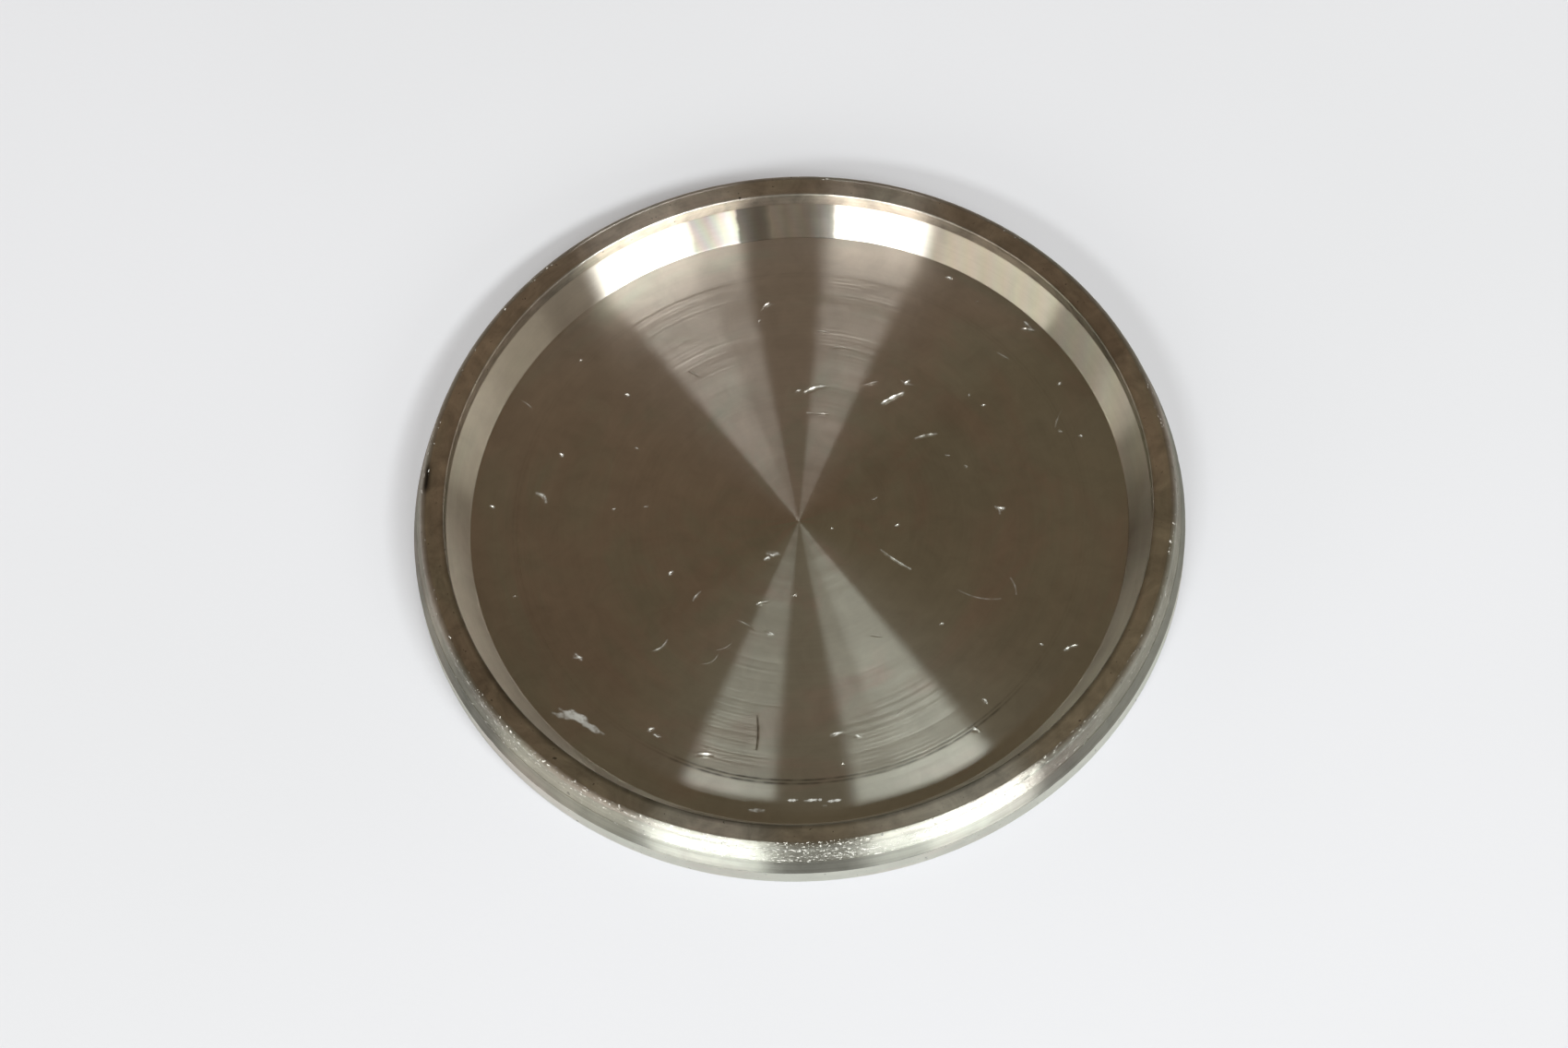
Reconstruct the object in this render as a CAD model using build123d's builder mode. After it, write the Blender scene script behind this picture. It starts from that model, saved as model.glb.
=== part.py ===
from build123d import *
import os
from math import cos, radians, sin, tan

# Round recessed floor drain cover, turned from one solid metal disc.
# Origin: centre of the flat underside. +Z up, the axis of the turning.
# The recess faces +Z. All sizes are in millimetres.

os.makedirs("parts", exist_ok=True)

# ---- driving dimensions -------------------------------------------------
# outside
outer_d = 100.0           # widest diameter, on the short vertical land
total_h = 8.0             # underside to the top of the rim
land_top_z = 2.9          # the land runs from the underside break up to here
side_angle = 14.9         # lean of the outer side from vertical, in degrees
shoulder_r = 0.85         # rounding between the outer side and the flat rim
land_edge_break = 0.10    # dulled corner where the side meets the land
under_break = 0.25        # chamfer round the underside

# inside
floor_t = 1.7             # thickness of the floor plate
floor_d = 85.6            # flat floor of the recess
mouth_d = 91.2            # straight band at the mouth of the recess
mouth_foot_z = 5.65       # where the sloping wall meets the straight band
mouth_break = 0.25        # chamfer at the mouth, on the rim
floor_nose_r = 0.20       # tool nose radius left at the foot of the wall
mouth_nose_r = 0.35       # tool nose radius left at the foot of the band

# fine turned detail
line_z = 5.17             # height of the line round the outer side
line_depth = 0.09         # how deep the tool left it
line_half_w = 0.16        # half its width
centre_d = 1.3            # shallow mark left at the centre of the floor
centre_depth = 0.10

# ---- derived ------------------------------------------------------------
outer_r = outer_d / 2
side_top_r = outer_r - (total_h - land_top_z) * tan(radians(side_angle))
line_r = outer_r - (line_z - land_top_z) * tan(radians(side_angle))
side_out = (cos(radians(side_angle)), sin(radians(side_angle)))     # outward
side_up = (-sin(radians(side_angle)), cos(radians(side_angle)))     # up the side


# ---- the cover ----------------------------------------------------------
with BuildPart() as drain_cover:
    # half section, from the axis outwards along the underside, up the
    # outside, over the rim and down the inside to the floor
    with BuildSketch(Plane.XZ) as section:
        with BuildLine() as outline:
            Polyline(
                (0, 0),
                (outer_r, 0),
                (outer_r, land_top_z),
                (side_top_r, total_h),
                (mouth_d / 2, total_h),
                (mouth_d / 2, mouth_foot_z),
                (floor_d / 2, floor_t),
                (0, floor_t),
                close=True,
            )
        make_face()
    revolve(axis=Axis.Z)

    # circles of the turning, told apart by height and radius
    rings = drain_cover.edges().filter_by(GeomType.CIRCLE)
    under_edge = rings.filter_by(lambda e: abs(e.center().Z) < 0.01)
    land_edge = rings.filter_by(lambda e: abs(e.center().Z - land_top_z) < 0.01)
    rim_edges = rings.filter_by(lambda e: abs(e.center().Z - total_h) < 0.01)
    shoulder_edge = rim_edges.sort_by(SortBy.RADIUS)[-1]
    mouth_edge = rim_edges.sort_by(SortBy.RADIUS)[0]
    band_foot = rings.filter_by(lambda e: abs(e.center().Z - mouth_foot_z) < 0.01)
    floor_edge = rings.filter_by(lambda e: abs(e.center().Z - floor_t) < 0.01)

    fillet(shoulder_edge, radius=shoulder_r)
    fillet(floor_edge, radius=floor_nose_r)
    fillet(band_foot, radius=mouth_nose_r)
    chamfer(mouth_edge, length=mouth_break)
    chamfer(under_edge, length=under_break)
    chamfer(land_edge, length=land_edge_break)

    # fine line round the outer side, where two tool passes met
    with BuildSketch(Plane.XZ) as line_section:
        with BuildLine() as vee:
            Polyline(
                (line_r - line_half_w * side_up[0] + 0.05 * side_out[0],
                 line_z - line_half_w * side_up[1] + 0.05 * side_out[1]),
                (line_r - line_depth * side_out[0],
                 line_z - line_depth * side_out[1]),
                (line_r + line_half_w * side_up[0] + 0.05 * side_out[0],
                 line_z + line_half_w * side_up[1] + 0.05 * side_out[1]),
                close=True,
            )
        make_face()
    revolve(axis=Axis.Z, mode=Mode.SUBTRACT)

    # shallow cone at the centre of the floor, where facing ended
    with BuildSketch(Plane.XZ) as centre_section:
        with BuildLine() as cone:
            Polyline(
                (0, floor_t - centre_depth),
                (centre_d / 2, floor_t),
                (centre_d / 2, floor_t + 0.2),
                (0, floor_t + 0.2),
                close=True,
            )
        make_face()
    revolve(axis=Axis.Z, mode=Mode.SUBTRACT)

drain_cover.part.label = "drain_cover"
export_step(drain_cover.part, "parts/drain_cover.step")
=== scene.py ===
import math
import random

import bpy
import numpy as np
from mathutils import Matrix, Vector, geometry


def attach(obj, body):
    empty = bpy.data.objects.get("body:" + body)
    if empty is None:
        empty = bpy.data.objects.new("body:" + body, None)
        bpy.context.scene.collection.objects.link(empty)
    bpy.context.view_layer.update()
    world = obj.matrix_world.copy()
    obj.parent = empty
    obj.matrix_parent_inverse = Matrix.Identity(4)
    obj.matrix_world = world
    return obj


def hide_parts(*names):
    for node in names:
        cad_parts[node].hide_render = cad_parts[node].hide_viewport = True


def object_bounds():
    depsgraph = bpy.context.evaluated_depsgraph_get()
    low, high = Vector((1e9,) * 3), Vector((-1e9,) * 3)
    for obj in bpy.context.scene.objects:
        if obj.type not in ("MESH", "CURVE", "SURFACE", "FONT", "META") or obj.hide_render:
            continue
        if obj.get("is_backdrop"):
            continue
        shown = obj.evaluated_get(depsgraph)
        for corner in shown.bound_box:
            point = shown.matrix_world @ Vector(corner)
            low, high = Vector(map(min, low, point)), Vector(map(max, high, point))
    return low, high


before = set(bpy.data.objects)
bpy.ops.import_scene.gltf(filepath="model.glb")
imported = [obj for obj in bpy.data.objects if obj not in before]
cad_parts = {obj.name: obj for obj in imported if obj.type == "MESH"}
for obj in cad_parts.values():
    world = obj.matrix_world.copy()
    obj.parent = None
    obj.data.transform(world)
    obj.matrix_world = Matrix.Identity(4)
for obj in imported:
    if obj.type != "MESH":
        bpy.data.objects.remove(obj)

cad_lo, cad_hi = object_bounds()
MM = 0.001
rng = random.Random(7)

# ------------------------------------------------------------------
# the cover's section, in millimetres: (radius, height), from the CAD
# ------------------------------------------------------------------
OUT_R, TOTAL_H = 50.0, 8.0
LAND_TOP, SIDE = 2.9, math.radians(14.9)
SHOULDER = 0.85
FLOOR_Z, FLOOR_R = 1.7, 42.8
MOUTH_R, MOUTH_FOOT = 45.6, 5.65
LINE_Z = 5.17
SEG = 600                         # facets round the cover


def side_r(z):
    return OUT_R - (z - LAND_TOP) * math.tan(SIDE)


def arc(corner, a, b, radius, n):
    """Points of a fillet of this radius at a corner between the points a and b, from a's side to b's side."""
    c = Vector(corner)
    ua, ub = (Vector(a) - c).normalized(), (Vector(b) - c).normalized()
    half = ua.angle(ub) / 2
    t = radius / math.tan(half)
    centre = c + (ua + ub).normalized() * (radius / math.sin(half))
    p, q = c + ua * t - centre, c + ub * t - centre
    out = []
    for i in range(n + 1):
        v = p.normalized().slerp(q.normalized(), i / n) * radius
        out.append((centre.x + v.x, centre.y + v.y))
    return out


def ease(a, b, n, first=False):
    """n steps from point a to point b, a left out unless first is set."""
    k = range(0 if first else 1, n + 1)
    return [(a[0] + (b[0] - a[0]) * i / n, a[1] + (b[1] - a[1]) * i / n) for i in k]


# the section runs from the underside's centre outwards, up, and back in to
# the floor's edge. Each stretch has a zone, which sets its finish.
ZONES = ["under", "land", "side_low", "side_high", "shoulder", "rim", "band", "wall", "floor"]
section, zone = [], []


def run(points, name):
    for p in points:
        section.append(p)
        zone.append(name)


run([(r, 0.0) for r in (12, 26, 38, 46, 49.75)], "under")
run([(49.85, 0.06), (49.94, 0.15), (50.0, 0.25)], "land")
run(ease((50.0, 0.25), (50.0, 2.8), 7), "land")
run([(49.985, 2.88), (49.974, 2.997)], "side_low")
line_r = side_r(LINE_Z)
run(ease((side_r(3.0), 3.0), (side_r(5.03), 5.03), 9), "side_low")
run([(side_r(5.09), 5.09), (line_r - 0.085, 5.16), (line_r - 0.05, 5.21), (side_r(5.27), 5.27)], "side_high")
top_r = side_r(TOTAL_H)
fil = arc((top_r, TOTAL_H), (side_r(5.0), 5.0), (46.0, TOTAL_H), SHOULDER, 9)
run(ease((side_r(5.27), 5.27), fil[0], 18), "side_high")
run(fil[1:], "shoulder")
run(ease(fil[-1], (45.82, 8.0), 4), "rim")
run([(45.74, 7.985), (45.675, 7.945), (45.63, 7.89), (45.607, 7.83), (45.6, 7.75)], "band")
nose = arc((MOUTH_R, MOUTH_FOOT), (MOUTH_R, TOTAL_H), (FLOOR_R, FLOOR_Z), 0.35, 5)
run(ease((45.6, 7.75), nose[0], 5), "band")
run(nose[1:], "wall")
foot = arc((FLOOR_R, FLOOR_Z), (MOUTH_R, MOUTH_FOOT), (0, FLOOR_Z), 0.20, 5)
run(ease(nose[-1], foot[0], 10), "wall")
run(foot[1:], "wall")
EDGE_R = section[-1][0]           # where the flat floor starts

# ------------------------------------------------------------------
# turned relief and small damage
# ------------------------------------------------------------------
theta = np.arange(SEG) * 2 * math.pi / SEG


def wander(seed, harmonics=5, start=1):
    """A smooth seeded wave round the cover, within about -1 to 1."""
    g = random.Random(int(seed))
    w = np.zeros(SEG)
    for k in range(start, start + harmonics):
        w += g.uniform(0.3, 1.0) / (1 + 0.3 * k) * np.cos(k * theta + g.uniform(0, 6.283))
    return w / max(1e-9, np.abs(w).max())


sec = np.array(section)
R = np.repeat(sec[:, 0][:, None], SEG, axis=1)
Z = np.repeat(sec[:, 1][:, None], SEG, axis=1)
zone = np.array(zone)
g = np.random.RandomState(11)

# shallow turning ridges on the upper half of the outer side
hi = np.where(zone == "side_high")[0][4:]
for j, i in enumerate(hi):
    amp = 0.020 * math.sin(j * 1.9) + 0.010 * math.sin(j * 3.7 + 1)
    R[i] += np.minimum(0.0, (amp - 0.028) * (0.6 + 0.4 * wander(100 + j)))
# a rough, lightly dented shoulder
sh = np.where(zone == "shoulder")[0]
rough = g.normal(0, 1, (len(sh) + len(hi), SEG))
rough = (rough + np.roll(rough, 1, 1) * 0.7) / 1.2
rows = list(hi) + list(sh)
for j, i in enumerate(rows):
    k = 0.012 if i in sh[:5] or i in hi[-7:] else 0.004
    R[i] -= np.abs(rough[j]) * k
# fine waves on the low side and the land
for i in np.where((zone == "side_low") | (zone == "land"))[0]:
    if 2.75 > sec[i, 1] > 0.3 or sec[i, 1] > 3.1:
        R[i] -= 0.004 * (1 + math.sin(i * 2.3)) * (0.7 + 0.3 * wander(300 + i))


def nick(th_deg, r0, z0, size, depth, wide=1.0):
    """Presses a small dent into whatever lies near the point (angle, radius, height)."""
    a = math.radians(th_deg)
    d_th = (theta - a + math.pi) % (2 * math.pi) - math.pi
    for i in range(len(section)):
        dr, dz = sec[i, 0] - r0, sec[i, 1] - z0
        if abs(dr) > 3 * size or abs(dz) > 3 * size:
            continue
        d = np.sqrt((d_th * r0 / wide) ** 2 + dr ** 2 + dz ** 2)
        push = depth * np.exp(-(d / size) ** 2)
        if sec[i, 0] >= 47.9:
            R[i] -= push * 0.8
            Z[i] -= push * 0.6 if sec[i, 1] > 6.5 else 0
        elif sec[i, 1] > 7.7:
            Z[i] -= push
            R[i] += push * 0.5 if sec[i, 0] < 45.9 else 0


for k in range(34):                # along the shoulder and the corner of the land
    nick(g.uniform(0, 360), 48.7, 7.5, g.uniform(0.16, 0.34), g.uniform(0.012, 0.040), g.uniform(1.2, 3.0))
for k in range(30):
    nick(g.uniform(0, 360), 50.0, 2.9, g.uniform(0.16, 0.34), g.uniform(0.02, 0.07), g.uniform(1.0, 2.4))
for k in range(26):                # the mouth's edge
    nick(g.uniform(0, 360), 45.72, 7.97, g.uniform(0.14, 0.26), g.uniform(0.02, 0.05), g.uniform(1.0, 2.2))
nick(171.2, 48.1, 7.95, 0.34, 0.10, 3.0)     # the dark nick on the left

# ------------------------------------------------------------------
# the floor: a flat sheet, finely divided only where it is marked
# ------------------------------------------------------------------
UNIT = 50.0                        # marks are placed in outer radii


def polar(th, r):
    a = math.radians(th)
    return (r * UNIT * math.cos(a), r * UNIT * math.sin(a))


def xy(x, y):
    return (x * UNIT, y * UNIT)


# (place, radius mm, depth mm): small pits with a raised lip
pits = [
    (xy(0.315, 0.383), 0.42, 0.10), (xy(0.025, 0.384), 0.30, 0.07), (xy(0.255, -0.035), 0.26, 0.09),
    (xy(0.525, -0.012), 0.40, 0.10), (xy(-0.075, -0.088), 0.62, 0.10), (xy(-0.090, -0.102), 0.40, 0.08),
    (xy(-0.795, 0.115), 0.30, 0.09), (xy(-0.607, 0.252), 0.32, 0.11), (xy(-0.425, 0.415), 0.34, 0.10),
    (xy(-0.340, -0.120), 0.34, 0.09), (xy(-0.745, -0.150), 0.26, 0.06), (xy(-0.598, -0.338), 0.42, 0.09),
    (xy(-0.100, -0.315), 0.38, 0.11), (xy(-0.025, -0.212), 0.24, 0.08), (xy(0.200, 0.048), 0.28, 0.07),
    (xy(-0.418, -0.560), 0.40, 0.10), (xy(-0.403, -0.578), 0.34, 0.09), (xy(0.045, -0.615), 0.42, 0.10),
    (xy(0.100, -0.625), 0.44, 0.10), (xy(0.402, -0.635), 0.46, 0.12), (xy(0.432, -0.555), 0.38, 0.09),
    (xy(0.655, -0.430), 0.34, 0.09), (xy(0.590, -0.410), 0.24, 0.06), (xy(0.342, -0.330), 0.26, 0.06),
    (xy(0.452, 0.690), 0.32, 0.10), (xy(0.445, 0.120), 0.26, 0.06), (xy(0.400, 0.158), 0.22, 0.05),
    (xy(0.510, 0.296), 0.26, 0.07), (xy(0.475, 0.332), 0.22, 0.05), (xy(0.700, 0.202), 0.28, 0.08),
    (xy(0.715, 0.343), 0.30, 0.08), (xy(0.752, 0.182), 0.26, 0.07), (xy(-0.480, 0.078), 0.24, 0.05),
    (xy(-0.392, 0.080), 0.22, 0.05), (xy(-0.060, 0.605), 0.24, 0.05), (xy(-0.410, 0.255), 0.22, 0.05),
    (xy(0.520, 0.610), 0.24, 0.05), (xy(0.085, -0.030), 0.22, 0.05), (xy(-0.270, 0.560), 0.22, 0.05),
    (xy(0.210, -0.570), 0.26, 0.06), (xy(-0.540, 0.530), 0.24, 0.06), (xy(0.060, -0.700), 0.26, 0.05),
]
# (from, to, bow mm, half width mm, depth mm): scratches with a burr each side
scratches = [
    (xy(0.045, 0.378), xy(0.098, 0.392), 0.2, 0.16, 0.085), (xy(0.245, 0.326), xy(0.302, 0.352), 0.1, 0.17, 0.095),
    (xy(0.205, 0.386), xy(0.235, 0.392), 0.0, 0.12, 0.045), (xy(0.322, 0.214), xy(0.378, 0.222), 0.1, 0.14, 0.060),
    (xy(0.070, 0.312), xy(0.098, 0.308), 0.0, 0.12, 0.050), (xy(0.045, 0.316), xy(0.060, 0.314), 0.0, 0.12, 0.050),
    (xy(0.205, -0.104), xy(0.276, -0.166), -0.1, 0.12, 0.055), (xy(-0.677, 0.143), xy(-0.655, 0.115), 0.35, 0.19, 0.100),
    (xy(-0.278, -0.388), xy(-0.236, -0.368), -0.4, 0.11, 0.026), (xy(-0.236, -0.352), xy(-0.200, -0.338), -0.2, 0.11, 0.024),
    (xy(-0.400, -0.340), xy(-0.362, -0.312), -0.3, 0.12, 0.045), (xy(-0.288, -0.205), xy(-0.268, -0.182), 0.1, 0.12, 0.045),
    (xy(-0.125, -0.232), xy(-0.100, -0.226), 0.1, 0.13, 0.055), (xy(-0.180, -0.272), xy(-0.140, -0.300), 0.1, 0.11, 0.035),
    (xy(-0.300, -0.640), xy(-0.270, -0.645), 0.0, 0.20, 0.100), (xy(0.655, -0.430), xy(0.682, -0.422), 0.1, 0.14, 0.060),
    (xy(0.640, 0.535), xy(0.652, 0.512), 0.1, 0.17, 0.080), (xy(0.632, 0.515), xy(0.660, 0.508), 0.1, 0.17, 0.080),
    (xy(-0.048, 0.640), xy(-0.020, 0.652), 0.4, 0.14, 0.060), (xy(0.510, -0.005), xy(0.520, -0.026), 0.2, 0.13, 0.060),
    (xy(-0.600, -0.330), xy(-0.586, -0.348), 0.0, 0.14, 0.070), (xy(0.395, -0.238), xy(0.500, -0.272), -0.5, 0.10, 0.022),
    (xy(0.530, -0.215), xy(0.540, -0.262), 0.2, 0.10, 0.028), (xy(0.690, 0.215), xy(0.712, 0.262), 0.1, 0.10, 0.028),
    (xy(0.330, 0.375), xy(0.300, 0.392), 0.1, 0.12, 0.045), (xy(-0.255, 0.470), xy(-0.235, 0.455), 0.0, 0.11, 0.035),
    (xy(0.130, 0.505), xy(0.165, 0.500), 0.2, 0.11, 0.035), (xy(0.090, 0.560), xy(0.120, 0.552), 0.1, 0.11, 0.035),
    (xy(0.160, -0.345), xy(0.185, -0.352), 0.0, 0.11, 0.035), (xy(-0.147, -0.545), xy(-0.156, -0.640), 0.15, 0.085, 0.030),
    (xy(-0.700, 0.700 * 0.6), xy(-0.680, 0.400), 0.1, 0.10, 0.028), (xy(0.560, 0.450), xy(0.585, 0.430), 0.0, 0.10, 0.030),
]
# thin pale residue, which lies on the metal: (centre, half length, half width, turn deg, strength)
films = [
    (xy(-0.610, -0.505), 1.9, 0.60, -28, 0.50), (xy(-0.570, -0.540), 1.6, 0.40, -38, 0.38),
    (xy(-0.645, -0.500), 1.1, 0.35, -20, 0.42), (xy(-0.0752, -0.787), 0.58, 0.17, -3, 1.0),
    (xy(-0.0289, -0.7911), 0.78, 0.18, 2, 1.0), (xy(-0.0057, -0.7919), 0.24, 0.17, 4, 0.9),
    (xy(0.0300, -0.7977), 1.00, 0.17, 3, 0.95), (xy(-0.1675, -0.8067), 0.95, 0.24, -6, 0.70),
    (xy(0.005, -0.8090), 0.30, 0.12, 0, 0.35), (xy(-0.690, 0.520), 0.40, 0.18, 30, 0.30),
]
pits = [(place, 0.66 * a, 0.85 * d) for place, a, d in pits]
# rings the tool scored: (radius mm, half width mm, depth mm)
scores = [(37.25, 0.15, 0.022), (36.78, 0.12, 0.015)]


def pit_shape(cx, cy):
    """Turn, stretch and the side of the raised lip of the pit at this place."""
    q = random.Random(int(cx * 1000) * 7 + int(cy * 1000))
    return q.uniform(-0.7, 0.7), q.uniform(1.15, 1.9), q.uniform(0, 6.283)


def seg_dist(p, a, b, bow):
    """Distance along and across a slightly bowed segment."""
    a, b = np.array(a), np.array(b)
    d = b - a
    length = np.linalg.norm(d)
    u = d / length
    v = np.array([-u[1], u[0]])
    q = p - a
    along = q @ u
    t = np.clip(along / length, 0, 1)
    across = q @ v - bow * 4 * t * (1 - t)
    over = np.maximum(0, np.maximum(-along, along - length))
    return t, across, over, length


def floor_height(p):
    """Height of the floor above its plane, wear and film there, in millimetres and 0 to 1."""
    r = np.hypot(p[:, 0], p[:, 1])
    th = np.arctan2(p[:, 1], p[:, 0])
    h = np.zeros(len(p))
    wear = np.zeros(len(p))
    film = np.zeros(len(p))
    groove_and_shade = np.zeros(len(p))
    cone = r < 0.65
    h[cone] += -0.10 * (1 - r[cone] / 0.65)
    for rr, w, d in scores:
        x = (r - rr) / w
        front = np.exp(-((((th + math.pi / 2 + math.pi) % (2 * math.pi) - math.pi) - 0.09) / 0.62) ** 8)
        a = (0.10 + 0.90 * front) * np.clip(0.75 + 0.25 * np.sin(5 * th + 2 * rr), 0.1, 1)
        h += a * d * (-np.exp(-x ** 2) + 0.45 * np.exp(-((np.abs(x) - 1.5) / 0.6) ** 2))
        broken = np.clip(0.80 + 0.5 * np.sin(th * 83 + rr * 3) * np.sin(th * 29 + rr), 0.50, 1)
        groove_and_shade = np.maximum(groove_and_shade, a * broken * min(1.0, d / 0.016) * np.exp(-x ** 2))
    for (cx, cy), a, d in pits:
        turn, long, side = pit_shape(cx, cy)
        u = ((p[:, 0] - cx) * math.cos(turn) + (p[:, 1] - cy) * math.sin(turn)) / (a * long)
        v = (-(p[:, 0] - cx) * math.sin(turn) + (p[:, 1] - cy) * math.cos(turn)) / (a * 0.8)
        e = np.hypot(u, v)
        near = e < 3
        f = np.arctan2(v[near], u[near])
        en = e[near] * (1 + 0.16 * np.sin(2 * f + side) + 0.12 * np.sin(3 * f + 2 * side) + 0.08 * np.sin(5 * f))
        lip = np.clip(0.45 + 0.75 * np.cos(f - side), 0, 1)
        h[near] += 0.75 * d * (-np.exp(-(1.5 * en) ** 2) * (1 + 0.35 * np.sin(4 * u[near] + side)) + 0.6 * lip * np.exp(-((en - 1.0) / 0.40) ** 2))
        wear[near] = np.maximum(wear[near], 0.9 * np.exp(-(en / 1.1) ** 4))
        film[near] = np.maximum(film[near], min(1.0, 12.0 * d) * (0.10 + 0.90 * lip) * np.exp(-((en - 0.70) / 0.38) ** 2))
    for a, b, bow, w, d in scratches:
        t, across, over, length = seg_dist(p, a, b, bow)
        fade = np.exp(-(over / (0.8 * w)) ** 2) * (0.55 + 0.45 * np.sin(math.pi * np.clip(t, 0.04, 0.96)))
        fade = fade * (0.8 + 0.2 * np.sin(t * length * 5 + a[0]))
        x = across / w
        near = (np.abs(x) < 4) & (over < 4 * w)
        h[near] += (fade * d * (-np.exp(-(x * 1.3) ** 2) + 0.6 * np.exp(-((np.abs(x) - 1.35) / 0.5) ** 2)))[near]
        wear[near] = np.maximum(wear[near], (fade * 0.9 * np.exp(-(x / 1.4) ** 4))[near])
        if w > 0.09:
            torn = min(1.0, 8.0 * d) * fade * np.exp(-((x - 0.5) / 0.7) ** 2)
            film[near] = np.maximum(film[near], torn[near])
        else:
            groove_and_shade[near] = np.maximum(groove_and_shade[near], (0.8 * fade * np.exp(-(x / 1.1) ** 2))[near])
    for (cx, cy), la, lb, turn, k in films:
        c, s = math.cos(math.radians(turn)), math.sin(math.radians(turn))
        u = ((p[:, 0] - cx) * c + (p[:, 1] - cy) * s) / la
        v = (-(p[:, 0] - cx) * s + (p[:, 1] - cy) * c) / lb
        e = u * u + v * v
        ragged = 1 + 0.30 * np.sin(7 * u + cx) + 0.15 * np.sin(5 * v + 3 * u)
        film = np.maximum(film, k * np.clip(2.2 * (1.1 - e * ragged), 0, 1))
    edge = np.clip((EDGE_R - r) / 0.3, 0, 1)
    return h * edge, wear, film, groove_and_shade


pts = []
taken = {}


def put(x, y, gap):
    """Adds a floor point unless one is already nearer than gap."""
    if math.hypot(x, y) > EDGE_R - 0.12:
        return
    c = 0.25
    ix, iy = int(math.floor(x / c)), int(math.floor(y / c))
    for i in (ix - 1, ix, ix + 1):
        for j in (iy - 1, iy, iy + 1):
            for k in taken.get((i, j), ()):
                if (pts[k][0] - x) ** 2 + (pts[k][1] - y) ** 2 < gap * gap:
                    return
    taken.setdefault((ix, iy), []).append(len(pts))
    pts.append((x, y))


put(0.0, 0.0, 0.01)
for r in (0.15, 0.33, 0.5, 0.65, 0.8, 1.1):
    n = 24
    for i in range(n):
        put(r * math.cos(2 * math.pi * (i + 0.5 * (r > 0.4)) / n), r * math.sin(2 * math.pi * (i + 0.5 * (r > 0.4)) / n), 0.03)
for (cx, cy), a, d in pits:
    turn, long, side = pit_shape(cx, cy)
    c, s = math.cos(turn), math.sin(turn)
    m = 10
    for i in range(-m, m + 1):
        for j in range(-m, m + 1):
            if i * i + j * j <= m * m:
                u, v = (i + 0.5 * (j % 2)) * 0.25 * a * long, j * 0.22 * a * 0.8
                put(cx + u * c - v * s, cy + u * s + v * c, a * 0.11)
for a, b, bow, w, d in scratches:
    (ax, ay), (bx, by) = a, b
    length = math.hypot(bx - ax, by - ay)
    ux, uy = (bx - ax) / length, (by - ay) / length
    n = max(4, int(length / 0.16))
    for i in range(-3, n + 4):
        t = i / n
        tc = min(1, max(0, t))
        off = bow * 4 * tc * (1 - tc)
        for x in (-3.4, -2.4, -1.9, -1.35, -0.9, -0.45, 0, 0.45, 0.9, 1.35, 1.9, 2.4, 3.4):
            s = off + x * w
            put(ax + ux * length * t - uy * s, ay + uy * length * t + ux * s, 0.045)
for (cx, cy), la, lb, turn, k in films:
    c, s = math.cos(math.radians(turn)), math.sin(math.radians(turn))
    gu, gv = min(0.16, la * 0.3), min(0.13, lb * 0.45)
    nu, nv = math.ceil(1.7 * la / gu), math.ceil(1.8 * lb / gv)
    for i in range(-nu, nu + 1):
        for j in range(-nv, nv + 1):
            u, v = i * gu, j * gv
            put(cx + u * c - v * s, cy + u * s + v * c, gv * 0.6)
for rr, w, d in scores:
    for x in (-2.8, -1.9, -1.2, -0.6, 0.0, 0.6, 1.2, 1.9, 2.8):
        r = rr + x * w
        n = SEG
        for i in range(n):
            a = 2 * math.pi * i / n
            put(r * math.cos(a), r * math.sin(a), 0.06)
for r in (2.0, 4, 7, 11, 15, 21, 28, 33.6, 38.6, 41.2):
    n = 48 if r < 3 else 96 if r < 12 else 180 if r < 30 else 240
    for i in range(n):
        a = 2 * math.pi * (i + 0.5) / n
        put(r * math.cos(a), r * math.sin(a), 0.30)
inner = len(pts)
rim = [(EDGE_R * math.cos(t), EDGE_R * math.sin(t)) for t in theta]
flat = [Vector(p) for p in rim + pts]
loop = [(i, (i + 1) % SEG) for i in range(SEG)]
cdt = geometry.delaunay_2d_cdt(flat, loop, [], 1, 1e-6)
cv, cf = cdt[0], cdt[2]
origin = cdt[3]

# ------------------------------------------------------------------
# one closed mesh
# ------------------------------------------------------------------
n_sec = len(section)
X = R * np.cos(theta)[None, :]
Y = R * np.sin(theta)[None, :]
ring = np.stack([X, Y, Z], -1).reshape(-1, 3)
verts = [tuple(v) for v in ring * MM]
wear_v = [0.0] * len(verts)
film_v = [0.0] * len(verts)
# darker marks on the rim's colour: a dark patch round the nick on the left, and painted shade along the front of the
# mouth's edge
nick_and_painted_shade = np.zeros((len(section), SEG))
d_th = (theta - math.radians(171.2) + math.pi) % (2 * math.pi) - math.pi
for i in range(len(section)):
    if 47.4 <= sec[i, 0] <= 49.3 and sec[i, 1] > 6.0:
        off = math.hypot(sec[i, 0] - 48.15, sec[i, 1] - 7.93)
        nick_and_painted_shade[i] = 1.15 * np.exp(-((d_th * 48.2) / 2.1) ** 4 - (off / 0.34) ** 2)
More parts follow.
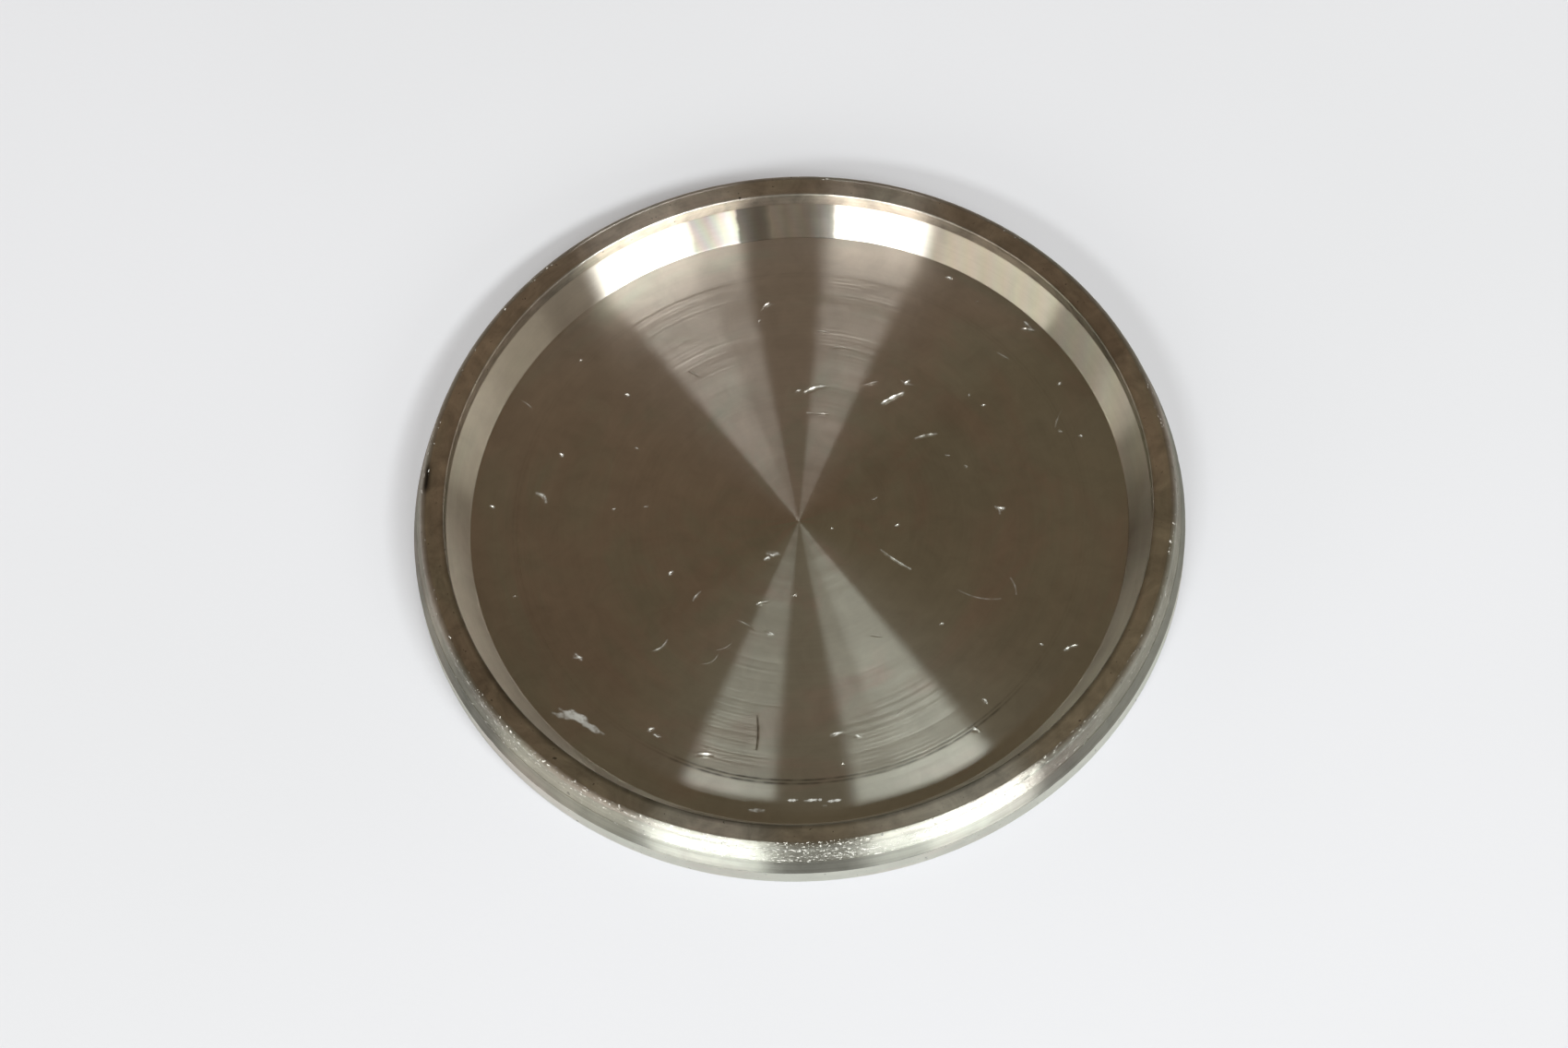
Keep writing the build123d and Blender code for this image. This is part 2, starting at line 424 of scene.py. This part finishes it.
# painted shade: the mouth's edge is darkened at the front, most straight ahead
front = np.clip(1.6 * np.cos(theta - math.radians(268)) + 0.2, 0, 1)
for i in range(len(section)):
    if 45.59 <= sec[i, 0] <= 45.83 and sec[i, 1] > 7.6:
        nick_and_painted_shade[i] = np.maximum(nick_and_painted_shade[i], 0.55 * front)
groove_and_shade_v = list(np.clip(nick_and_painted_shade, 0, 1).reshape(-1))
faces, mats = [], []
zone_index = {z: i for i, z in enumerate(ZONES)}
for i in range(n_sec - 1):
    m = zone_index[zone[i + 1]]
    for j in range(SEG):
        k = (j + 1) % SEG
        faces.append((i * SEG + j, i * SEG + k, (i + 1) * SEG + k, (i + 1) * SEG + j))
        mats.append(m)
verts.append((0.0, 0.0, 0.0))
wear_v.append(0.0)
film_v.append(0.0)
groove_and_shade_v.append(0.0)
pole = len(verts) - 1
for j in range(SEG):
    faces.append((pole, (j + 1) % SEG, j))
    mats.append(zone_index["under"])
base = (n_sec - 1) * SEG
co = np.array([(v.x, v.y) for v in cv], float)
h, wear, film, groove_and_shade = floor_height(co)
index = {}
for k in range(len(cv)):
    src = [s for s in origin[k] if s < SEG]
    if src:
        index[k] = base + src[0]
    else:
        index[k] = len(verts)
        verts.append((co[k, 0] * MM, co[k, 1] * MM, (FLOOR_Z + h[k]) * MM))
        wear_v.append(float(wear[k]))
        film_v.append(float(film[k]))
        groove_and_shade_v.append(float(groove_and_shade[k]))
for f in cf:
    f = [index[k] for k in f]
    a, b, c = (Vector(verts[i]) for i in f[:3])
    if (b - a).cross(c - a).z < 0:
        f = f[::-1]
    faces.append(tuple(f))
    mats.append(zone_index["floor"])

mesh = bpy.data.meshes.new("turned_cover")
mesh.from_pydata(verts, [], faces)
mesh.validate()
for name, values in (("wear", wear_v), ("film", film_v), ("groove_and_shade", groove_and_shade_v)):
    at = mesh.attributes.new(name, "FLOAT", "POINT")
    at.data.foreach_set("value", np.array(values, np.float32))
cover = bpy.data.objects.new("turned_cover", mesh)
bpy.context.scene.collection.objects.link(cover)
mesh.polygons.foreach_set("use_smooth", [True] * len(mesh.polygons))
mesh.polygons.foreach_set("material_index", mats)
mesh.set_sharp_from_angle(angle=math.radians(28))
print("cover verts", len(mesh.vertices), "faces", len(mesh.polygons), "tris", sum(len(p.vertices) - 2 for p in mesh.polygons))


# ------------------------------------------------------------------
# materials
# ------------------------------------------------------------------
class Nodes:
    """Short names for building a node tree."""

    def __init__(self, name):
        self.mat = bpy.data.materials.new(name)
        self.mat.use_nodes = True
        self.nt = self.mat.node_tree
        self.nt.nodes.clear()

    def add(self, kind, **props):
        n = self.nt.nodes.new(kind)
        for k, v in props.items():
            setattr(n, k, v)
        return n

    def set(self, node, key, value):
        if isinstance(value, bpy.types.NodeSocket):
            self.nt.links.new(value, node.inputs[key])
        else:
            node.inputs[key].default_value = value
        return node

    def math(self, op, a, b=None, c=None, clamp=False):
        n = self.add("ShaderNodeMath", operation=op, use_clamp=clamp)
        for i, v in enumerate((a, b, c)):
            if v is not None:
                self.set(n, i, v)
        return n.outputs[0]

    def remap(self, v, a, b, c, d, smooth=False):
        n = self.add("ShaderNodeMapRange", interpolation_type="SMOOTHSTEP" if smooth else "LINEAR")
        for k, x in zip(("Value", "From Min", "From Max", "To Min", "To Max"), (v, a, b, c, d)):
            self.set(n, k, x)
        return n.outputs[0]

    def combine(self, x, y, z):
        n = self.add("ShaderNodeCombineXYZ")
        for i, v in enumerate((x, y, z)):
            self.set(n, i, v)
        return n.outputs[0]

    def noise(self, vec, scale, detail=2.0, rough=0.5, distortion=0.0):
        n = self.add("ShaderNodeTexNoise", noise_dimensions="3D")
        self.set(n, "Vector", vec)
        for k, v in (("Scale", scale), ("Detail", detail), ("Roughness", rough), ("Distortion", distortion)):
            self.set(n, k, v)
        return n.outputs[0]

    def mix(self, fac, a, b):
        n = self.add("ShaderNodeMix", data_type="RGBA")
        self.set(n, 0, fac)
        for key, v in ((6, a), (7, b)):
            if isinstance(v, bpy.types.NodeSocket):
                self.nt.links.new(v, n.inputs[key])
            else:
                n.inputs[key].default_value = (*v, 1.0)
        return n.outputs[2]

    def attr(self, name):
        n = self.add("ShaderNodeAttribute", attribute_name=name)
        return n.outputs["Fac"]


def turned(name, along, a_r, a_t, tone, streak=0.03, bump=0.006, darken=0.0, specks=0.0, ring=0.06, steep=None, haze=0.0, stains=0.05, dirt=0.0, sparkle=0.0, calm=0.25):
    """Lathe-turned metal. along is (share of radius, share of height) in the direction across the tool lines.

    a_r and a_t are the widths of the highlight across and along the tool lines; steep is
    (share, width across, width along) of a second, wider highlight and haze the share of a third."""
    n = Nodes(name)
    co = n.add("ShaderNodeTexCoord").outputs["Object"]
    sep = n.add("ShaderNodeSeparateXYZ")
    n.set(sep, 0, co)
    x, y, z = sep.outputs
    r = n.math("SQRT", n.math("ADD", n.math("MULTIPLY", x, x), n.math("MULTIPLY", y, y)))
    safe = n.math("MAXIMUM", r, 1e-5)
    cx, cy = n.math("DIVIDE", x, safe), n.math("DIVIDE", y, safe)
    # s runs across the tool lines, in millimetres
    s = n.math("ADD", n.math("MULTIPLY", r, along[0] * 1000.0), n.math("MULTIPLY", z, along[1] * 1000.0))

    def lines(per_mm, drift, detail=2.0):
        return n.noise(n.combine(n.math("MULTIPLY", s, per_mm), n.math("MULTIPLY", cx, drift), n.math("MULTIPLY", cy, drift)), 1.0, detail, 0.6)

    fine, mid = lines(2.6, 0.6, 3.0), lines(0.8, 0.35, 2.0)
    cloud = n.noise(co, 38.0, 3.0, 0.55, 0.4)
    grit = n.noise(co, 2600.0, 2.0, 0.6)
    wear, film, groove_and_shade = n.attr("wear"), n.attr("film"), n.attr("groove_and_shade")

    # tangent: round the axis
    tang = n.add("ShaderNodeVectorMath", operation="NORMALIZE")
    n.set(tang, 0, n.combine(n.math("MULTIPLY", cy, -1.0), cx, 0.0))

    # colour: warm nickel grey with faint green and pink patches, drawn out along the
    # tool lines, and a light mottling of stains
    green = tuple(c * k for c, k in zip(tone, (0.955, 1.020, 0.985)))
    pink = tuple(c * k for c, k in zip(tone, (1.035, 0.966, 0.955)))
    patch_c = n.noise(n.combine(n.math("MULTIPLY", s, 0.13), n.math("MULTIPLY", cx, 1.9), n.math("MULTIPLY", cy, 1.9)), 1.0, 3.0, 0.6, 0.5)
    lean = n.math("ADD", patch_c, n.math("ADD", n.math("MULTIPLY", cx, -0.05), n.math("MULTIPLY", cy, 0.12)))
    col = n.mix(n.remap(lean, 0.34, 0.66, 0.0, 1.0, True), green, pink)
    col = n.mix(calm, col, tone)
    mottle = n.noise(co, 260.0, 4.0, 0.62, 0.6)
    shade = n.math("ADD", n.remap(mid, 0.3, 0.7, -streak * 0.5, streak * 0.5), n.remap(fine, 0.3, 0.7, -streak, streak))
    shade = n.math("ADD", shade, n.remap(mottle, 0.3, 0.7, -stains, stains))
    shade = n.math("ADD", shade, n.remap(cloud, 0.3, 0.7, -stains * 0.8, stains * 0.8))
    # the zone's base colour is lowered by the given share, and raised where the share is negative
    shade = n.math("ADD", 1.0 - darken, shade)
    if dirt:
        # small dark flecks
        fleck = n.noise(co, 1500.0, 2.0, 0.5)
        thin = n.math("MULTIPLY", n.remap(fleck, 0.66, 0.74, 0.0, dirt, True), n.remap(mottle, 0.45, 0.6, 0.0, 1.0))
        shade = n.math("MULTIPLY", shade, n.math("SUBTRACT", 1.0, thin))
    # darker in scored rings and fine scratches, in a patch round the nick on the left, and with painted shade along the
    # front of the mouth's edge
    shade = n.math("MULTIPLY", shade, n.math("SUBTRACT", 1.0, n.math("MULTIPLY", groove_and_shade, 0.85)))
    if name == "turned_wall":
        # along the back the colour changes with azimuth, as painted reflection: darker and lighter upright stretches
        # and panels, one stretch lighter than the metal itself, which shape the lamps' highlights and the dark gap
        # between them; in the darker stretch on the left lie faint coloured fringes, and upright darker panels lie to
        # the right of it
        inside = n.math("GREATER_THAN", cy, 0.0)
        ramp = n.add("ShaderNodeValToRGB")
        # stops below 1 paint darker panels, those above 1 paint a lamp's highlight brighter than the metal
        stops = ((-0.275, 1.0), (-0.245, 0.50), (-0.20, 0.53), (-0.174, 0.68), (-0.148, 1.0), (-0.130, 1.35), (-0.115, 1.35),
                 (-0.107, 0.40), (-0.07, 0.52), (-0.044, 0.52), (-0.028, 0.58), (-0.018, 0.76), (-0.008, 1.0), (0.020, 1.0),
                 (0.034, 0.90), (0.060, 1.0), (0.087, 0.88), (0.113, 0.76), (0.139, 0.42), (0.165, 0.30), (0.177, 0.36), (0.190, 1.0))
        low, high = stops[0][0], stops[-1][0]
        elements = ramp.color_ramp.elements
        elements[0].color = (stops[0][1],) * 3 + (1.0,)
        elements[1].color = (stops[-1][1],) * 3 + (1.0,)
        for at, v in stops[1:-1]:
            elements.new((at - low) / (high - low)).color = (v, v, v, 1.0)
        # the panels' edges waver a little from top to bottom
        wave = n.math("ADD", cx, n.remap(n.noise(n.combine(n.math("MULTIPLY", s, 0.5), cx, 0.0), 1.0, 2.0, 0.5), 0.3, 0.7, -0.004, 0.004))
        n.set(ramp, 0, n.remap(wave, low, high, 0.0, 1.0))
        painted_panels = ramp.outputs[0]
        turn = n.math("ADD", n.math("MULTIPLY", cx, 130.0), n.math("MULTIPLY", s, 0.8))
        tinted = n.math("MULTIPLY", n.remap(cx, -0.275, -0.245, 0.0, 0.045, True), n.remap(cx, -0.110, -0.095, 1.0, 0.3, True))
        fringe = n.combine(*(n.math("ADD", 1.0, n.math("MULTIPLY", n.math("SINE", n.math("ADD", turn, ph)), tinted)) for ph in (0.0, 2.1, 4.2)))
        both = n.add("ShaderNodeMix", data_type="RGBA", blend_type="MULTIPLY")
        n.set(both, 0, 1.0)
        n.nt.links.new(painted_panels, both.inputs[6])
        n.nt.links.new(fringe, both.inputs[7])
        fringe = both.outputs[2]
        fringes_and_painted_panels = n.add("ShaderNodeMix", data_type="RGBA", blend_type="MULTIPLY")
        n.set(fringes_and_painted_panels, 0, inside)
        n.nt.links.new(col, fringes_and_painted_panels.inputs[6])
        n.nt.links.new(fringe, fringes_and_painted_panels.inputs[7])
        col = fringes_and_painted_panels.outputs[2]
        # darker and browner on the right, most just in front of the side and a touch lighter just behind it
        side = n.add("ShaderNodeValToRGB")
        stops = ((-0.66, 1.0), (-0.50, 0.86), (-0.34, 0.74), (-0.20, 0.52), (-0.13, 0.50), (0.0, 0.74), (0.06, 0.95), (0.11, 1.10), (0.20, 1.0))
        low, high = stops[0][0], stops[-1][0]
        elements = side.color_ramp.elements
        for at, v in stops[1:-1]:
            elements.new((at - low) / (high - low)).color = (v, v * (1.0 - 0.10 * max(0.0, 1.0 - v)), v * (1.0 - 0.18 * max(0.0, 1.0 - v)), 1.0)
        elements[0].color = elements[len(stops) - 1].color = (1.0, 1.0, 1.0, 1.0)
        n.set(side, 0, n.remap(cy, low, high, 0.0, 1.0))
        right_darkened = n.add("ShaderNodeMix", data_type="RGBA", blend_type="MULTIPLY")
        n.set(right_darkened, 0, n.math("GREATER_THAN", cx, 0.0))
        n.nt.links.new(col, right_darkened.inputs[6])
        n.nt.links.new(side.outputs[0], right_darkened.inputs[7])
        col = right_darkened.outputs[2]
    mul = n.add("ShaderNodeMix", data_type="RGBA", blend_type="MULTIPLY")
    n.set(mul, 0, 1.0)
    n.nt.links.new(col, mul.inputs[6])
    n.nt.links.new(n.combine(shade, shade, shade), mul.inputs[7])
    col = mul.outputs[2]
    patch = n.noise(co, 900.0, 3.0, 0.7)
    film_on = n.math("MULTIPLY", film, n.remap(patch, 0.36, 0.56, 0.15, 1.0), clamp=True)

    # roughness follows the tool lines; scratches are rougher and lose the grain's direction
    rough = math.sqrt(math.sqrt(a_r * a_t))
    aniso = 1.0 - math.sqrt(a_t / a_r)
    k = n.math("ADD", n.remap(mid, 0.3, 0.7, 1.0 - ring * 0.35, 1.0 + ring * 0.35), n.remap(fine, 0.3, 0.7, -ring * 0.4, ring * 0.4))
    k = n.math("ADD", k, n.remap(cloud, 0.3, 0.7, -0.012, 0.012))
    ro = n.math("ADD", n.math("MULTIPLY", k, rough), n.math("MULTIPLY", wear, 0.06), clamp=True)
    an = n.math("MULTIPLY", aniso, n.math("SUBTRACT", 1.0, n.math("MULTIPLY", wear, 0.55)), clamp=True)

    height = n.math("ADD", n.math("MULTIPLY", fine, 0.6), n.math("MULTIPLY", mid, 0.4))
    if specks:
        height = n.math("ADD", height, n.math("MULTIPLY", grit, specks))
    if sparkle:
        # torn specks left by the tool, lying in rows along its lines; the same mask also places painted glints further
        # down
        torn = n.noise(n.combine(n.math("MULTIPLY", s, 5.0), n.math("MULTIPLY", cx, 98.0), n.math("MULTIPLY", cy, 98.0)), 1.0, 2.0, 0.62)
        row = n.noise(n.combine(n.math("MULTIPLY", s, 2.6), n.math("MULTIPLY", cx, 3.0), n.math("MULTIPLY", cy, 3.0)), 1.0, 1.0, 0.5)
        torn = n.math("ADD", torn, n.remap(row, 0.35, 0.65, -0.06, 0.06))
        # most of them are at the front, some to the left of it
        torn = n.math("ADD", torn, n.remap(cy, -0.82, -0.970, -0.085, 0.0))
        torn = n.math("ADD", torn, n.math("MULTIPLY", n.remap(cx, -0.35, -0.62, 0.0, 0.045), n.remap(cy, -0.45, -0.60, 0.0, 1.0)))
        height = n.math("ADD", height, n.math("MULTIPLY", n.remap(torn, 0.59, 0.66, 0.0, 1.0), sparkle))
    bu = n.add("ShaderNodeBump")
    n.set(bu, "Strength", 1.0)
    n.set(bu, "Distance", bump * MM)
    n.set(bu, "Height", height)

    def metal(ro_, an_):
        p = n.add("ShaderNodeBsdfAnisotropic", distribution="BECKMANN")
        n.set(p, "Color", col)
        n.set(p, "Roughness", ro_)
        n.set(p, "Anisotropy", an_)
        n.set(p, "Tangent", tang.outputs[0])
        n.set(p, "Normal", bu.outputs[0])
        return p.outputs[0]

    def blend(fac, a, b):
        m = n.add("ShaderNodeMixShader")
        n.set(m, 0, fac)
        n.nt.links.new(a, m.inputs[1])
        n.nt.links.new(b, m.inputs[2])
        return m.outputs[0]

    surface = metal(ro, an)
    if steep:
        # the flanks of the tool marks: a share of the surface that leans much further
        share, b_r, b_t = steep
        k2 = n.math("ADD", n.math("MULTIPLY", k, math.sqrt(math.sqrt(b_r * b_t))), n.math("MULTIPLY", wear, 0.05))
        an2 = n.math("MULTIPLY", 1.0 - math.sqrt(b_t / b_r), n.math("SUBTRACT", 1.0, n.math("MULTIPLY", wear, 0.45)), clamp=True)
        if name == "turned_floor":
            mm = n.math("MULTIPLY", r, 1000.0)
            share = n.math("MULTIPLY", n.remap(mm, 2.0, 13.0, share * 0.22, share * 0.52, True), n.remap(mm, 13.0, 36.5, 1.0, 1.60))
            outer = n.remap(cy, -0.6, 0.3, 1.05, 0.30)
            share = n.math("MULTIPLY", share, n.math("ADD", 1.0, n.math("MULTIPLY", outer, n.remap(mm, 37.1, 37.5, 0.0, 1.0))))
            # crisp single tool lines, clearest in the outer third
            crisp = n.noise(n.combine(n.math("MULTIPLY", s, 2.7), n.math("MULTIPLY", cx, 0.5), n.math("MULTIPLY", cy, 0.5)), 1.0, 2.0, 0.7)
            comb = n.math("POWER", n.math("ADD", 0.5, n.math("MULTIPLY", n.math("SINE", n.math("MULTIPLY", s, 11.2)), 0.5)), 3.0)
            comb = n.math("MULTIPLY", comb, n.remap(n.noise(n.combine(n.math("MULTIPLY", s, 0.35), n.math("MULTIPLY", cx, 5.0), n.math("MULTIPLY", cy, 5.0)), 1.0, 2.0, 0.6), 0.42, 0.60, 0.0, 0.85))
            clear = n.math("MULTIPLY", n.remap(mm, 22.0, 30.0, 0.35, 1.0, True), n.remap(mm, 36.9, 37.6, 1.0, 0.40, True))
            share = n.math("MULTIPLY", share, n.math("ADD", 1.0, n.math("ADD", n.remap(fine, 0.3, 0.7, -ring, ring), n.remap(mid, 0.3, 0.7, -ring, ring))))
            share = n.math("MULTIPLY", share, n.math("ADD", 1.0, n.math("MULTIPLY", clear, n.math("ADD", comb, n.remap(crisp, 0.36, 0.64, -0.40, 0.30)))))
        surface = blend(share, surface, metal(k2, an2))
    if haze:
        surface = blend(haze, surface, metal(0.61, 0.46))
    # a trace of plain rough metal
    plain = n.add("ShaderNodeBsdfPrincipled")
    n.set(plain, "Base Color", col)
    n.set(plain, "Metallic", 1.0)
    n.set(plain, "Roughness", 0.36)
    surface = blend(0.015, surface, plain.outputs[0])
    # painted glints: where the torn specks are, the surface also takes a near-white matt colour
    if sparkle:
        painted_glint = n.add("ShaderNodeBsdfDiffuse")
        n.set(painted_glint, "Color", (0.93, 0.91, 0.86, 1.0))
        n.set(painted_glint, "Normal", bu.outputs[0])
        surface = blend(n.math("MULTIPLY", n.remap(torn, 0.60, 0.645, 0.0, 1.0), 0.85), surface, painted_glint.outputs[0])
    # dried residue lies on the metal as a thin matt film
    d = n.add("ShaderNodeBsdfDiffuse")
    n.set(d, "Color", (0.78, 0.79, 0.76, 1.0))
    n.set(d, "Roughness", 0.6)
    n.set(d, "Normal", bu.outputs[0])
    surface = blend(n.math("MULTIPLY", film_on, 0.85), surface, d.outputs[0])
    # painted shade: to diffuse rays the metal shows as a dark matt colour, so that little of its light is thrown back
    # onto the paper
    dim = n.add("ShaderNodeBsdfDiffuse")
    n.set(dim, "Color", (0.16, 0.15, 0.13, 1.0))
    path = n.add("ShaderNodeLightPath")
    surface = blend(n.math("MULTIPLY", path.outputs["Is Diffuse Ray"], 0.95), surface, dim.outputs[0])
    out = n.add("ShaderNodeOutputMaterial")
    n.nt.links.new(surface, out.inputs[0])
    return n.mat


TONE = (0.66, 0.635, 0.575)
finishes = {
    "under": turned("turned_underside", (1, 0), 0.30, 0.030, TONE, 0.13, 0.020, ring=0.14, steep=(0.18, 0.95, 0.02), haze=0.04, stains=0.10),
    "land": turned("turned_land", (0, 1), 0.30, 0.050, TONE, darken=-0.36, specks=0.3, haze=0.05, stains=0.08, dirt=0.5),
    "side_low": turned("turned_side_low", (0, 1), 0.72, 0.036, TONE, 0.05, darken=0.42, haze=0.04, stains=0.07),
    "side_high": turned("turned_side_high", (0, 1), 0.90, 0.036, TONE, 0.07, 0.020, darken=0.19, specks=0.5, haze=0.04, stains=0.10, dirt=0.4, sparkle=2.0),
    "shoulder": turned("turned_shoulder", (-0.5, 0.8), 0.60, 0.034, TONE, 0.06, 0.018, darken=0.20, specks=0.5, haze=0.04, stains=0.12, dirt=0.5, sparkle=2.0),
    "rim": turned("turned_rim", (1, 0), 0.18, 0.045, TONE, 0.05, 0.005, specks=0.3, steep=(0.07, 0.80, 0.035), haze=0.03, stains=0.28, dirt=0.8),
    "band": turned("turned_band", (0, 1), 0.25, 0.030, TONE, 0.05, 0.005, darken=0.26, specks=0.2, haze=0.18, stains=0.22, dirt=0.8),
    "wall": turned("turned_wall", (0.7, 0.7), 0.33, 0.021, TONE, 0.03, 0.004, stains=0.06, calm=0.65),
    "floor": turned("turned_floor", (1, 0), 0.24, 0.030, TONE, 0.02, 0.004, ring=0.08, steep=(0.170, 0.80, 0.018), haze=0.05, stains=0.07, calm=0.10),
}
for z in ZONES:
    mesh.materials.append(finishes[z])
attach(cover, "root")
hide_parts("drain_cover")

# ------------------------------------------------------------------
# paper floor, light and camera
# ------------------------------------------------------------------
paper = Nodes("pale_paper")
co = paper.add("ShaderNodeTexCoord").outputs["Object"]
soft = paper.noise(co, 9.0, 2.0, 0.5)
fibre = paper.noise(co, 1400.0, 3.0, 0.6)
tint = paper.mix(paper.remap(soft, 0.35, 0.65, 0.0, 1.0, True), (0.491, 0.498, 0.523), (0.504, 0.510, 0.539))
pb = paper.add("ShaderNodeBsdfPrincipled")
paper.set(pb, "Base Color", tint)
paper.set(pb, "Roughness", 0.75)
paper.set(pb, "Specular IOR Level", 0.25)
# the paper glows a little to all rays and more to camera rays: painted light, which lifts its shadows
paper.set(pb, "Emission Color", (0.97, 0.975, 1.0, 1.0))
lit = paper.add("ShaderNodeLightPath")
paper.set(pb, "Emission Strength", paper.remap(lit.outputs["Is Camera Ray"], 0.0, 1.0, 0.06, 0.28))
pbump = paper.add("ShaderNodeBump")
paper.set(pbump, "Strength", 0.35)
paper.set(pbump, "Distance", 0.00004)
paper.set(pbump, "Height", fibre)
paper.set(pb, "Normal", pbump.outputs[0])
# seen from underneath the paper is clear, so that the underside can be looked at
clear = paper.add("ShaderNodeBsdfTransparent")
geo = paper.add("ShaderNodeNewGeometry")
path = paper.add("ShaderNodeLightPath")
near = paper.math("LESS_THAN", path.outputs["Ray Length"], 0.00012)
gone = paper.math("MAXIMUM", geo.outputs["Backfacing"], near)
both = paper.add("ShaderNodeMixShader")
paper.set(both, 0, gone)
paper.nt.links.new(pb.outputs[0], both.inputs[1])
paper.nt.links.new(clear.outputs[0], both.inputs[2])
po = paper.add("ShaderNodeOutputMaterial")
paper.nt.links.new(both.outputs[0], po.inputs[0])

sheet = bpy.data.meshes.new("paper_sheet")
S, N = 2.2, 12
sv = [(-S + 2 * S * i / N, -S + 2 * S * j / N, -0.00003) for j in range(N + 1) for i in range(N + 1)]
sf = [(j * (N + 1) + i, j * (N + 1) + i + 1, (j + 1) * (N + 1) + i + 1, (j + 1) * (N + 1) + i) for j in range(N) for i in range(N)]
sheet.from_pydata(sv, [], sf)
sheet.materials.append(paper.mat)
floor = bpy.data.objects.new("paper_sheet", sheet)
bpy.context.scene.collection.objects.link(floor)
floor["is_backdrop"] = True


def strip(name, azimuth, elevation, wide_deg, tall_deg, radiance, colour, distance=1.8):
    """A soft strip light. Azimuth is from the front (-Y), positive towards +X."""
    a, e = math.radians(azimuth), math.radians(elevation)
    d = Vector((math.sin(a) * math.cos(e), -math.cos(a) * math.cos(e), math.sin(e)))
    light = bpy.data.lights.new(name, "AREA")
    light.shape = "RECTANGLE"
    light.size = 2 * distance * math.tan(math.radians(wide_deg * math.cos(e)) / 2)
    light.size_y = 2 * distance * math.tan(math.radians(tall_deg) / 2)
    light.energy = radiance * math.pi * light.size * light.size_y
    light.color = colour
    ob = bpy.data.objects.new(name, light)
    ob.location = d * distance
    ob.rotation_mode = "QUATERNION"
    ob.rotation_quaternion = d.to_track_quat("Z", "Y")
    bpy.context.scene.collection.objects.link(ob)
    return ob


LAMP = (0.97, 1.0, 0.99)
strip("light_right", 39.7, 50.0, 28.6, 6.0, 46.0, LAMP)
strip("light_right_dim", 18.4, 50.0, 14.0, 6.0, 35.0, LAMP)
strip("light_left", -28.3, 44.5, 27.6, 6.0, 36.0, LAMP)
strip("spill_right", 36.0, 27.0, 26.0, 18.0, 4.6, LAMP)
strip("spill_left", -28.3, 25.0, 25.0, 18.0, 4.4, LAMP)
strip("window_left", -59.0, 15.0, 34.0, 15.0, 2.2, (1.0, 0.96, 0.84))
strip("window_far_left", -101.0, 13.0, 12.0, 14.0, 0.75, (1.0, 0.93, 0.82))
strip("window_right", 86.0, 12.0, 44.0, 13.0, 0.42, (1.0, 0.98, 0.84))

world = bpy.data.worlds.new("room")
bpy.context.scene.world = world
world.use_nodes = True
w = Nodes.__new__(Nodes)
w.nt = world.node_tree
w.nt.nodes.clear()
wc = w.add("ShaderNodeTexCoord").outputs["Generated"]
ws = w.add("ShaderNodeSeparateXYZ")
w.set(ws, 0, wc)
up = ws.outputs[2]
ramp = w.add("ShaderNodeValToRGB")
w.set(ramp, 0, w.remap(up, -1.0, 1.0, 0.0, 1.0))
el = ramp.color_ramp.elements
el[0].position, el[0].color = 0.0, (0.62, 0.62, 0.63, 1)
el[1].position, el[1].color = 1.0, (0.125, 0.092, 0.060, 1)
for pos, c in ((0.49, (0.62, 0.61, 0.60)), (0.53, (0.56, 0.53, 0.47)), (0.60, (0.42, 0.385, 0.33)), (0.68, (0.19, 0.157, 0.122)), (0.82, (0.14, 0.105, 0.07))):
    e = ramp.color_ramp.elements.new(pos)
    e.color = (*c, 1)
bg = w.add("ShaderNodeBackground")
w.nt.links.new(ramp.outputs[0], bg.inputs[0])
w.set(bg, 1, 1.0)
wo = w.add("ShaderNodeOutputWorld")
w.nt.links.new(bg.outputs[0], wo.inputs[0])

# the camera looks down at about 63 degrees, turned a little clockwise
F_PX, EL, ROLL = 5000.0, math.radians(62.74), math.radians(-4.68)
TX, TY, DIST = 0.0393, 0.0043, 11.9782
fwd = Vector((0, math.cos(EL), -math.sin(EL)))
right, upv = Vector((1, 0, 0)), Vector((0, math.sin(EL), math.cos(EL)))
centre = Vector((0, 0, FLOOR_Z * MM))
eye = centre + (-TX * right - TY * upv - DIST * fwd) * (UNIT * MM)
c, s = math.cos(ROLL), math.sin(ROLL)
cam_x, cam_y, cam_z = c * right + s * upv, -s * right + c * upv, -fwd
cam_data = bpy.data.cameras.new("camera")
cam_data.sensor_width = 36.0
cam_data.lens = F_PX / 1700.0 * 36.0
cam_data.clip_start, cam_data.clip_end = 0.01, 20.0
camera = bpy.data.objects.new("camera", cam_data)
bpy.context.scene.collection.objects.link(camera)
rot = Matrix((cam_x, cam_y, cam_z)).transposed()
camera.matrix_world = Matrix.Translation(eye) @ rot.to_4x4()
bpy.context.scene.camera = camera

view = bpy.context.scene.view_settings
view.view_transform = "Standard"
view.look = "None"
view.exposure = 0.0
view.gamma = 1.0

new_lo, new_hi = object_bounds()
print("bounds of the frame", list(cad_lo), list(cad_hi), "and of the visual model", list(new_lo), list(new_hi))
